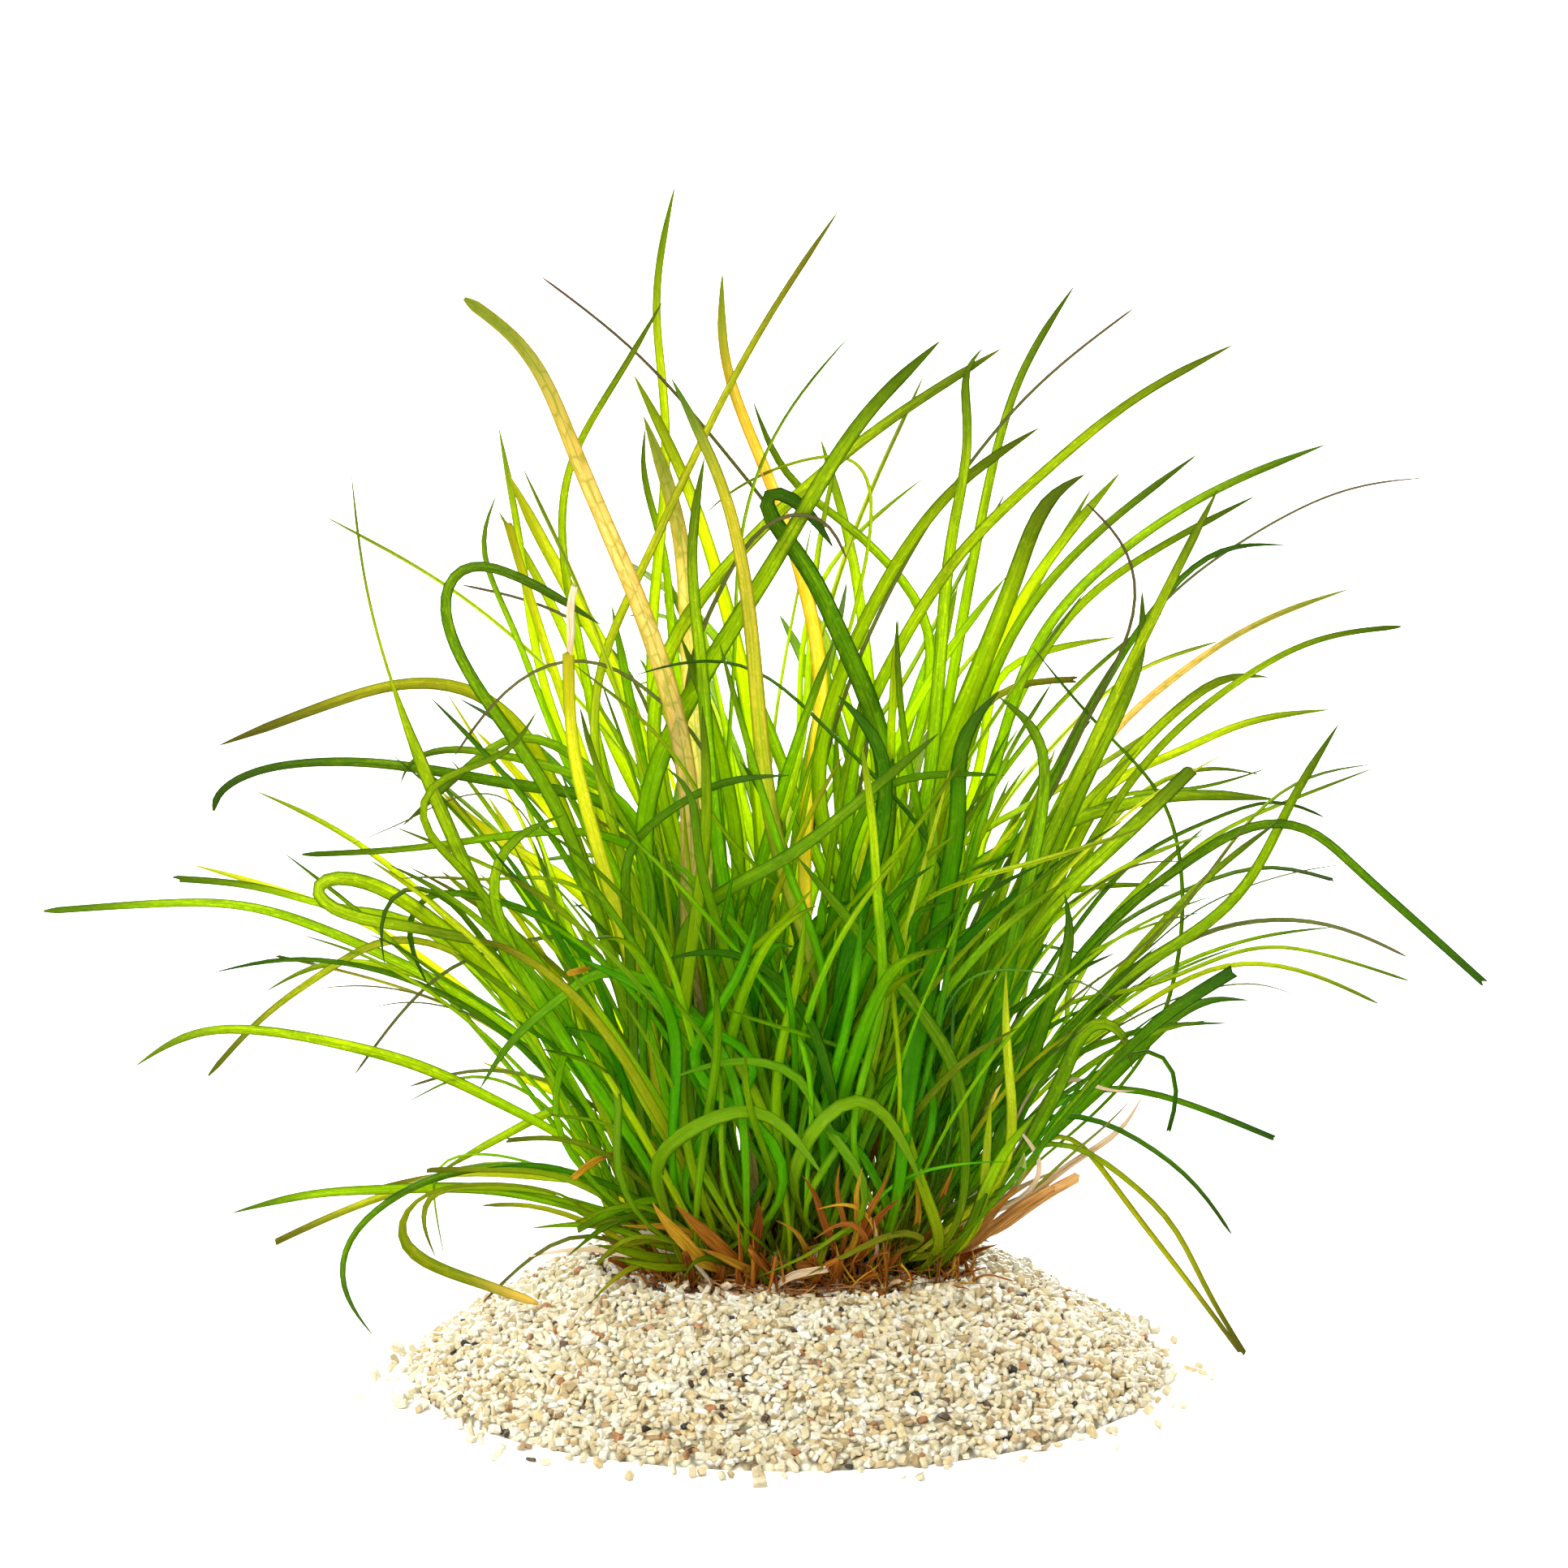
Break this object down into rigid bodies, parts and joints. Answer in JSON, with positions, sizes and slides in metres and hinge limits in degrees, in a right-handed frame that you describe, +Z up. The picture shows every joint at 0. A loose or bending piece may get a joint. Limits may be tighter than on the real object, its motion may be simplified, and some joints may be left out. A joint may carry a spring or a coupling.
{
  "type": "red helanthium tenellum",
  "caption": "Grass-like aquarium plant: a dense tuft of narrow green ribbon leaves, some tan and olive, rising from small rosettes in a low heap of pale quartz sand",
  "frame": {"origin": "the middle of the sand heap's flat underside, on the surface that it rests on", "axes": "+Z up, +X to the right along the plant's widest spread, the plant seen from the front along +Y"},
  "size_m": [0.1884, 0.1365, 0.1564],
  "materials": {
    "sand": "matte",
    "roots": "matte",
    "leaf_lime": "satin",
    "leaf_green": "satin",
    "leaf_deep": "satin",
    "leaf_olive": "satin",
    "leaf_tan": "satin",
    "leaf_yellow": "satin",
    "leaf_brown": "satin"
  },
  "bodies": {
    "root": {"sand_mound": "sand", "root_ball": "roots", "plantlet_01": "leaf_green", "plantlet_02": "leaf_green", "plantlet_03": "leaf_green", "plantlet_04": "leaf_green", "plantlet_05": "leaf_green", "plantlet_06": "leaf_green", "plantlet_07": "leaf_green", "plantlet_08": "leaf_green", "plantlet_09": "leaf_green", "plantlet_10": "leaf_green", "plantlet_11": "leaf_green", "plantlet_12": "leaf_green", "plantlet_13": "leaf_green", "plantlet_14": "leaf_green", "leaf_01": "leaf_green", "leaf_02": "leaf_olive", "leaf_03": "leaf_deep", "leaf_04": "leaf_olive", "leaf_05": "leaf_tan", "leaf_06": "leaf_lime", "leaf_07": "leaf_green", "leaf_08": "leaf_tan", "leaf_09": "leaf_yellow", "leaf_10": "leaf_green", "leaf_11": "leaf_green", "leaf_12": "leaf_green", "leaf_13": "leaf_green", "leaf_14": "leaf_olive", "leaf_15": "leaf_brown", "leaf_16": "leaf_green", "leaf_17": "leaf_tan", "leaf_18": "leaf_green", "leaf_19": "leaf_deep", "leaf_20": "leaf_green", "leaf_21": "leaf_green", "leaf_22": "leaf_green", "leaf_23": "leaf_green", "leaf_24": "leaf_deep", "leaf_25": "leaf_deep", "leaf_26": "leaf_olive", "leaf_27": "leaf_green", "leaf_28": "leaf_green", "leaf_29": "leaf_deep", "leaf_30": "leaf_green", "leaf_31": "leaf_green", "leaf_32": "leaf_green", "leaf_33": "leaf_lime", "leaf_34": "leaf_green", "leaf_35": "leaf_olive", "leaf_36": "leaf_green", "leaf_37": "leaf_green", "leaf_38": "leaf_deep", "leaf_39": "leaf_green", "leaf_40": "leaf_green", "leaf_41": "leaf_deep", "leaf_42": "leaf_green", "leaf_43": "leaf_green", "leaf_44": "leaf_green"}
  },
  "joints": []
}
